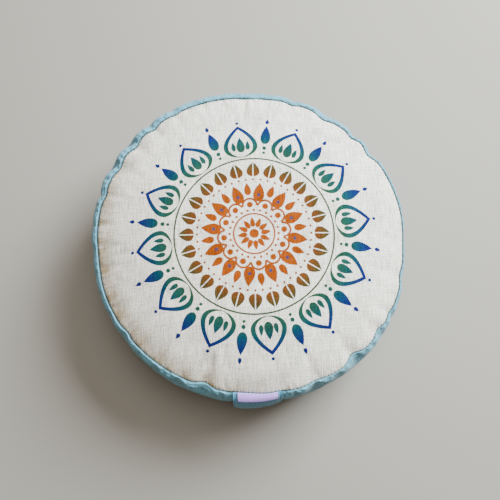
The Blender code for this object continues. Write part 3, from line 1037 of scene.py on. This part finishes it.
# %% [markdown]
# ## Linen
# Linen is a plain weave of uneven threads: each passes over one and under the next. The weave
# is a product of two sines, whose sign says which thread lies on top. Flax has thick places,
# called slubs, that run on for a centimetre or two: noise stretched along one thread direction
# and then the other. Fine noise is the fibres, and broad noise the uneven wear and dye.

# %% A linen weave
THREAD = 0.72  # mm from one thread to the next
WARP_GRAIN = Grain(1.2, 16.0, 0.0)
WEFT_GRAIN = Grain(22.0, 1.2, 40.0)
FIBRE_GRAIN = Grain(1.4, 1.4, 80.0, 3.0)
BROAD_GRAIN = Grain(30.0, 30.0, 120.0, 3.0)
SLUB_NOISE = (0.3, 0.75)  # noise at which a slub begins and is full
WARP_SHARE = 0.65  # the rest of the slubs is the weft's
THREAD_HEIGHT = 0.6  # share of the weave's height, the rest being the slubs'
Weights = namedtuple("Weights", "slubs fibre broad pillow")
TONE = Weights(slubs=0.75, fibre=1.5, broad=0.6, pillow=0.08)
TONE_LESS = 0.39  # brings the mean tone to about 1
Weave = namedtuple("Weave", "height upper tone")


def linen(finish, along, across):
    """A weave's height, which thread is on top (0 or 1), and the cloth's tone about 1."""
    over = (along * (math.pi / THREAD)).sin() * (across * (math.pi / THREAD)).sin()
    pillow = abs(over) ** 0.5
    warp = finish.grain(along, across, WARP_GRAIN).between(*SLUB_NOISE)
    weft = finish.grain(along, across, WEFT_GRAIN).between(*SLUB_NOISE)
    slubs = warp * WARP_SHARE + weft * (1.0 - WARP_SHARE)
    tone = slubs * TONE.slubs + finish.grain(along, across, FIBRE_GRAIN) * TONE.fibre
    tone = tone + finish.grain(along, across, BROAD_GRAIN) * TONE.broad
    # The threads' crowns are lighter than the hollows between them: painted shade in the weave.
    tone = tone + pillow * TONE.pillow - TONE_LESS
    height = pillow * THREAD_HEIGHT + slubs * (1.0 - THREAD_HEIGHT)
    return Weave(height, over.between(-0.25, 0.25), tone)


# %% [markdown]
# ## The print
# The print is a plain lotus rosette, with seeds, drops, leaves and petals in rings of twelve
# and twenty-four. One sector is drawn and repeated by wrapping the angle. Each motif is a
# distance in millimetres, below zero inside it, and the nearest of them all is the print's
# edge. The colour changes with the radius alone, as when a stencil is dabbed with one colour
# after another from the middle outwards.

# %% The motifs' places and sizes
PRINT_CENTRE = (3.7, -1.8)  # mm
PRINT_EDGE = 0.3  # half the width of the ink's soft edge, in mm
PRINT_TURN = math.radians(6.0)
Fold = namedtuple("Fold", "count offset")  # sectors, share of a sector
FOLDS = {
    "petal": Fold(12, 0.0), "gap": Fold(12, 0.5), "leaf": Fold(24, 0.5), "bead": Fold(48, 0.0)
}
WING_LEAN = 0.078  # radians: the wings lean away from the petal's middle line

Dot = namedtuple("Dot", "fold centre size")  # mm
DOTS = [
    Dot("leaf", 25.8, 1.4),
    Dot("petal", 32.0, 3.2),
    Dot("bead", 60.2, 1.25),
    Dot("gap", 98.0, 2.3),
    Dot("gap", 92.3, 1.7),
    Dot("petal", 130.5, 1.8),
]
ACCENT_DOT = Dot("gap", 43.0, 1.7)
ARCH = Dot("petal", 31.0, 7.6)  # a round line, of which only the outer part is printed
ARCH_LINE = 2.2
ARCH_FOOT = 30.0  # where that part begins, from the print's middle

Drop = namedtuple("Drop", "fold start end width")  # mm
DROPS = [
    Drop("petal", 7.2, 18.5, 3.0),
    Drop("gap", 35.5, 57.0, 6.4),
    Drop("petal", 42.5, 57.0, 4.0),
    Drop("petal", 93.0, 112.0, 5.0),
    Drop("wing", 95.5, 107.5, 2.8),
    Drop("gap", 103.0, 127.0, 5.8),
    Drop("gap", 129.0, 136.0, 2.4),
]
DROP_PEAK = 0.385  # the most that the root of x, times 1 - x, reaches
LEAF = Drop("leaf", 63.5, 81.0, 7.4)
VEIN_LINE = 1.0  # left bare along the leaf's middle
PETAL = Drop("petal", 87.0, 127.0, 19.0)
PETAL_LINE = 5.2

Ring = namedtuple("Ring", "radius width")  # mm
RINGS = [Ring(21.6, 1.8), Ring(84.5, 1.8)]
HEART_RADIUS = 5.0


# %% Draw the motifs
Sector = namedtuple("Sector", "out side")


def sector(radius, angle, fold):
    """The coordinates along and beside the middle line of the nearest of a fold's sectors."""
    step = math.tau / fold.count
    start = PRINT_TURN + fold.offset * step
    local = (angle - start).through("WRAP", step / 2, -step / 2)
    return Sector(radius * local.cos(), radius * local.sin())


def leaning(at, lean):
    """The same place seen from a line that leans to the side. Both sides mirror each other."""
    side = abs(at.side)
    turned_out = at.out * math.cos(lean) + side * math.sin(lean)
    return Sector(turned_out, side * math.cos(lean) - at.out * math.sin(lean))


def dot(sectors, motif):
    at = sectors[motif.fold]
    away = at.out - motif.centre
    return (away * away + at.side * at.side) ** 0.5 - motif.size


def drop(sectors, motif):
    """A seed shape, round at its start and pointed at its end."""
    at = sectors[motif.fold]
    share = ((at.out - motif.start) / (motif.end - motif.start)).most(0.0).least(1.0)
    bulge = (share ** 0.5) * (share * -1.0 + 1.0) * (motif.width / DROP_PEAK)
    return abs(at.side) - bulge + PRINT_EDGE


def line(distance, width):
    """A line drawn along a motif's edge."""
    return abs(distance) - width / 2


def rosette(x, y):
    """The print's edge distance, its accent dots' distance, and the radius."""
    x, y = x - PRINT_CENTRE[0], y - PRINT_CENTRE[1]
    radius = (x * x + y * y) ** 0.5
    angle = y.through("ARCTAN2", x)
    sectors = {name: sector(radius, angle, fold) for name, fold in FOLDS.items()}
    sectors["wing"] = leaning(sectors["petal"], WING_LEAN)
    arch = line(dot(sectors, ARCH), ARCH_LINE).most(sectors["petal"].out * -1.0 + ARCH_FOOT)
    vein = (abs(sectors["leaf"].side) - VEIN_LINE / 2) * -1.0
    petal = line(drop(sectors, PETAL) + PETAL_LINE / 2, PETAL_LINE)
    motifs = [radius - HEART_RADIUS, arch, drop(sectors, LEAF).most(vein), petal]
    motifs += [line(radius - ring.radius, ring.width) for ring in RINGS]
    motifs += [dot(sectors, motif) for motif in DOTS]
    motifs += [drop(sectors, motif) for motif in DROPS]
    return reduce(Signal.least, motifs), dot(sectors, ACCENT_DOT), radius


# %% [markdown]
# ## The panel's linen
# Unbleached linen with the print worked into it: the ink darkens the threads, so the weave and its
# slubs still show. Near the seam the cloth is darker, partly soil and partly painted shade, and
# most on the side away from the light. That side also gets painted shade across the panel, and the
# pinches near the seam get dark spots of painted shade and soil.

# %% Top linen
WEAVE_DEPTH = 0.12 * MM
CREAM = linear(227, 222, 212)
SOILED_AND_SHADED = (0.49, 0.385, 0.26)  # what fully darkened cloth keeps of each colour: soil and painted shade
Ink = namedtuple("Ink", "radius colour")  # mm
INKS = [
    Ink(0.0, (0.27, 0.052, 0.001)),
    Ink(56.0, (0.26, 0.050, 0.001)),
    Ink(64.0, (0.14, 0.038, 0.005)),
    Ink(78.0, (0.050, 0.042, 0.010)),
    Ink(90.0, (0.014, 0.060, 0.030)),
    Ink(104.0, (0.004, 0.055, 0.052)),
    Ink(113.0, (0.002, 0.030, 0.080)),
    Ink(122.0, (0.002, 0.010, 0.105)),
]
INK_REACH = 140.0  # mm, the radius at the end of the colour ramp
INK_ACCENT = (0.004, 0.036, 0.12)
ACCENT_SHARE = 0.85
SPECK_GRAIN = Grain(1.1, 1.1, 0.0)
SPECKS = 0.03  # share of the ink that is missing in the specks
WOBBLE_GRAIN = Grain(2.5, 2.5, 9.0)
WOBBLE = 0.5  # mm by which the ink's edge wanders

# Dark spots in the pinches near the seam: painted shade, with some soil.
DarkSpot = namedtuple("DarkSpot", "angle radius size strength")  # degrees, mm, mm, share
DARK_SPOTS = [
    DarkSpot(253.0, 164.0, 7.0, 0.55),
    DarkSpot(281.0, 164.0, 5.0, 0.45),
    DarkSpot(191.0, 160.0, 8.0, 0.4),
    DarkSpot(177.0, 150.0, 12.0, 0.2),
]
# The side away from the light, where shade is painted onto the cream.
SHADED_SIDE = math.radians(207.0)
DARKENED_RIM = (140.0, 169.0)  # mm from the middle, where the rim's darkening, soil and painted shade, begins and is full
RIM_DARKENING_ALL_ROUND = 0.1  # the rim's darkening at any angle,
SHADE_AT_SIDE = 0.86  # what the side away from the light adds to it as painted shade,
SHADE_INSIDE = 0.12  # and the painted shade that side has far from the rim too
GATHER_GRAIN = 20.0  # streaks of darkening for each radian round the panel
STREAK_LENGTH = 45.0  # mm
STREAKED = 0.7  # share of the rim's darkening that lies in the streaks
MIDDLE_RADIUS = 0.01  # mm: keeps a division by the radius from failing in the middle


def soil_and_shade(finish, x, y):
    """How darkened the panel is, from 0 to 1, by soil and painted shade: along the gathers near the
    seam, most on the side away from the light, and in dark spots.
    """
    radius = (x * x + y * y) ** 0.5 + MIDDLE_RADIUS
    across, along = x / radius, y / radius
    streak_place = (across * GATHER_GRAIN, along * GATHER_GRAIN, radius / STREAK_LENGTH)
    streaks = finish.noise(streak_place, 3.0).between(0.3, 0.7)
    facing_side = across * math.cos(SHADED_SIDE) + along * math.sin(SHADED_SIDE)
    side = facing_side.between(0.1, 0.95)
    rim = radius.between(*DARKENED_RIM) * (side * SHADE_AT_SIDE + RIM_DARKENING_ALL_ROUND)
    total = rim * (streaks * STREAKED + (1.0 - STREAKED)) + side * SHADE_INSIDE
    for dark_spot in DARK_SPOTS:
        turn = math.radians(dark_spot.angle)
        away_x = x - dark_spot.radius * math.cos(turn)
        away_y = y - dark_spot.radius * math.sin(turn)
        away = (away_x * away_x + away_y * away_y) ** 0.5
        total = total + away.between(0.0, dark_spot.size, dark_spot.strength, 0.0)
    return total.least(1.0)


def ink_colour(finish, radius):
    ramp = finish.tree.nodes.new("ShaderNodeValToRGB")
    stops = ramp.color_ramp.elements
    while len(stops) < len(INKS):
        stops.new(1.0)
    for stop, ink in zip(stops, INKS):
        stop.position = ink.radius / INK_REACH
        stop.color = (*ink.colour, 1.0)
    feed(ramp.inputs[0], radius / INK_REACH)
    return ramp.outputs[0]


def printed_linen():
    finish = Finish("printed_linen", 0.92, 0.04)
    x, y = finish.place("Object")[:2]
    weave = linen(finish, x, y)
    edge, accent, radius = rosette(x, y)
    specks = finish.grain(x, y, SPECK_GRAIN).between(0.25, 0.5)
    wobble = finish.grain(x, y, WOBBLE_GRAIN) * WOBBLE - WOBBLE / 2
    inked = (edge + wobble).between(-PRINT_EDGE, PRINT_EDGE, 1.0, 0.0)
    inked = inked * (specks * SPECKS + (1.0 - SPECKS))
    accented = accent.between(-PRINT_EDGE, PRINT_EDGE, 1.0, 0.0) * ACCENT_SHARE
    # The cream darkened by soil and by painted shade.
    soiled_and_shaded_cream = tuple(share * value for share, value in zip(SOILED_AND_SHADED, CREAM))
    colour = finish.mix(soil_and_shade(finish, x, y), CREAM, soiled_and_shaded_cream)
    colour = finish.mix(inked, colour, ink_colour(finish, radius))
    colour = finish.mix(accented, colour, INK_ACCENT)
    return finish.complete(colour, weave.tone, weave.height, WEAVE_DEPTH)


top.data.materials.append(printed_linen())

# %% [markdown]
# ## The band's linen
# The band, the base and the strap are cut from dyed linen, whose two thread directions took the dye
# differently: pale threads one way, blue ones the other. From a step away they average to duck-egg
# blue, and close to, they show as a fine check. The band is darker in its crevices, painted shade
# with some dust, and least at the front. The strap's cloth is folded and pressed, and its colours
# are darker and bluer than the band's.

# %% Dyed linen
Dye = namedtuple("Dye", "pale blue")
BAND_DYE = Dye(linear(122, 188, 212), linear(76, 114, 126))
# The strap's colours are darker and bluer than the band's.
STRAP_DYE = Dye(linear(92, 156, 186), linear(64, 118, 146))
BAND_WEAVE_DEPTH = 0.14 * MM
DUST_AND_SHADE = 0.78  # by what share the band is darker in its crevices: painted shade, with some dust
DUST_AND_SHADE_REACH = (0.6, 2.3)  # mm from a crevice, where the darkening is full and where it ends
BAND_HALF_LENGTH = math.pi * (SEAM_RADIUS + BULGE) / MM  # from the join to the back, in mm
DUST_AND_SHADE_FRONT = (0.6 * BAND_HALF_LENGTH, 0.85 * BAND_HALF_LENGTH)  # from the back: full, least
DUST_AND_SHADE_KEPT = 0.4  # share of the darkening that is left at the front


def dyed_linen(name, dye, output, depth, crevices=()):
    finish = Finish(name, 0.88, 0.2)
    x, y = finish.place(output)[:2]
    weave = linen(finish, x, y)
    tone = weave.tone
    # Darker along the crevices: painted shade with some dust, less at the front.
    for place in crevices:
        dust_and_shade = abs(y - place).between(*DUST_AND_SHADE_REACH, DUST_AND_SHADE, 0.0)
        kept = abs(x - BAND_HALF_LENGTH).between(*DUST_AND_SHADE_FRONT, 1.0, DUST_AND_SHADE_KEPT)
        tone = tone * (dust_and_shade * kept * -1.0 + 1.0)
    return finish.complete(finish.mix(weave.upper, *dye), tone, weave.height, depth)


band_crevices = crevice_places(body.profile)
band_linen = dyed_linen("band_linen", BAND_DYE, "UV", BAND_WEAVE_DEPTH, band_crevices)
band.data.materials.append(band_linen)
base.data.materials.append(dyed_linen("base_linen", BAND_DYE, "Object", WEAVE_DEPTH))
strap.data.materials.append(dyed_linen("strap_linen", STRAP_DYE, "UV", WEAVE_DEPTH))

# %% [markdown]
# ## Threads and label
# Sewing thread is twisted from plies, so slanting ridges run round it. The label is woven
# satin: fine floating threads run across it and give it a soft shine.

# %% Thread
PLY = 0.35  # mm


def thread(name, colour):
    finish = Finish(name, 0.6, 0.2)
    x, y, z = finish.place("Object")
    ridges = ((x + y + z) * (math.tau / PLY)).sin() * 0.5 + 0.5
    # The grooves between the plies are darker than their ridges: painted shade.
    return finish.complete(colour, ridges * 0.25 + 0.8, ridges, 0.04 * MM)


strap_thread.data.materials.append(thread("strap_thread", linear(150, 190, 204)))
label_thread.data.materials.append(thread("label_thread", linear(225, 215, 245)))


# %% Satin
SATIN_THREAD = 0.28  # mm
FLOAT_GRAIN = Grain(2.2, SATIN_THREAD, 0.0)
FADING_GRAIN = Grain(9.0, 9.0, 5.0)
STRIPE_PLACE = 3.0  # mm from the label's middle to each of its two darker stripes
LILAC = linear(214, 176, 255)
LILAC_DEEP = linear(184, 142, 248)


def label_satin():
    finish = Finish("label_satin", 0.45, 0.3)
    x, y = finish.place("UV")[:2]
    rows = (y * (math.tau / SATIN_THREAD)).sin() * 0.5 + 0.5
    floats = finish.grain(x, y, FLOAT_GRAIN)
    from_middle = abs(y - LABEL_HEIGHT / MM / 2)
    stripes = abs(from_middle - STRIPE_PLACE).between(0.25, 0.45, 1.0, 0.0)
    colour = finish.mix(floats.between(0.35, 0.7), LILAC, LILAC_DEEP)
    colour = finish.mix(stripes * 0.5, colour, LILAC_DEEP)
    # The hollows between the rows are a little darker: painted shade.
    tone = finish.grain(x, y, FADING_GRAIN) * 0.12 + rows * 0.06 + 0.9
    return finish.complete(colour, tone, rows * 0.6 + floats * 0.4, 0.05 * MM)


label.data.materials.append(label_satin())

# %% [markdown]
# ## What each piece is
# Cloth has no joints, so all pieces ride on the one body. Each takes the place of its packed solid.

PIECES = [
    (band, "side_band", "band_linen"),
    (top, "top_panel", "top_linen"),
    (base, "base_panel", "band_linen"),
    (strap, "carry_handle", "handle_linen"),
    (strap_thread, None, "handle_linen"),
    (label, "side_label", "label_satin"),
    (label_thread, None, "label_satin"),
]
for piece, node, slot in PIECES:
    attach(piece, "root")
    if node:
        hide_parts(node)

# %% [markdown]
# ## Floor and light
# A plain pale floor and soft studio light from the upper right.

# %% Stage
FLOOR_COLOUR = (0.33, 0.305, 0.27, 1.0)
FLOOR_SIZE = 60.0
FLOOR_HEIGHT = -0.5 * MM
SKY_COLOUR = (1.0, 0.82, 0.61, 1.0)
SKY_STRENGTH = 0.17
LIGHT_AIM = Vector((0.0, 0.0, 50.0 * MM))
Light = namedtuple("Light", "name place size power colour")  # metres, metres, watts
LIGHTS = [
    Light("window", (1.05, 0.85, 1.2), 1.0, 113.0, (0.885, 0.97, 1.0)),
    Light("ceiling", (0.1, 0.25, 1.8), 1.0, 17.0, (1.0, 0.97, 0.92)),
]

bpy.ops.mesh.primitive_plane_add(size=FLOOR_SIZE, location=(0.0, 0.0, FLOOR_HEIGHT))
floor = bpy.context.object
floor.name = "floor"
paper = bpy.data.materials.new("floor_paper")
paper.use_nodes = True
paper_shader = paper.node_tree.nodes["Principled BSDF"]
set_inputs(paper_shader, {"Base Color": FLOOR_COLOUR, "Roughness": 0.9})
floor.data.materials.append(paper)

world = bpy.data.worlds.new("studio")
bpy.context.scene.world = world
world.use_nodes = True
sky = world.node_tree.nodes["Background"]
set_inputs(sky, {"Color": SKY_COLOUR, "Strength": SKY_STRENGTH})

for light in LIGHTS:
    lamp = bpy.data.lights.new(light.name, "AREA")
    lamp.energy = light.power
    lamp.size = light.size
    lamp.color = light.colour
    holder = bpy.data.objects.new(light.name, lamp)
    bpy.context.scene.collection.objects.link(holder)
    holder.location = light.place
    holder.rotation_euler = (LIGHT_AIM - holder.location).to_track_quat("-Z", "Y").to_euler()
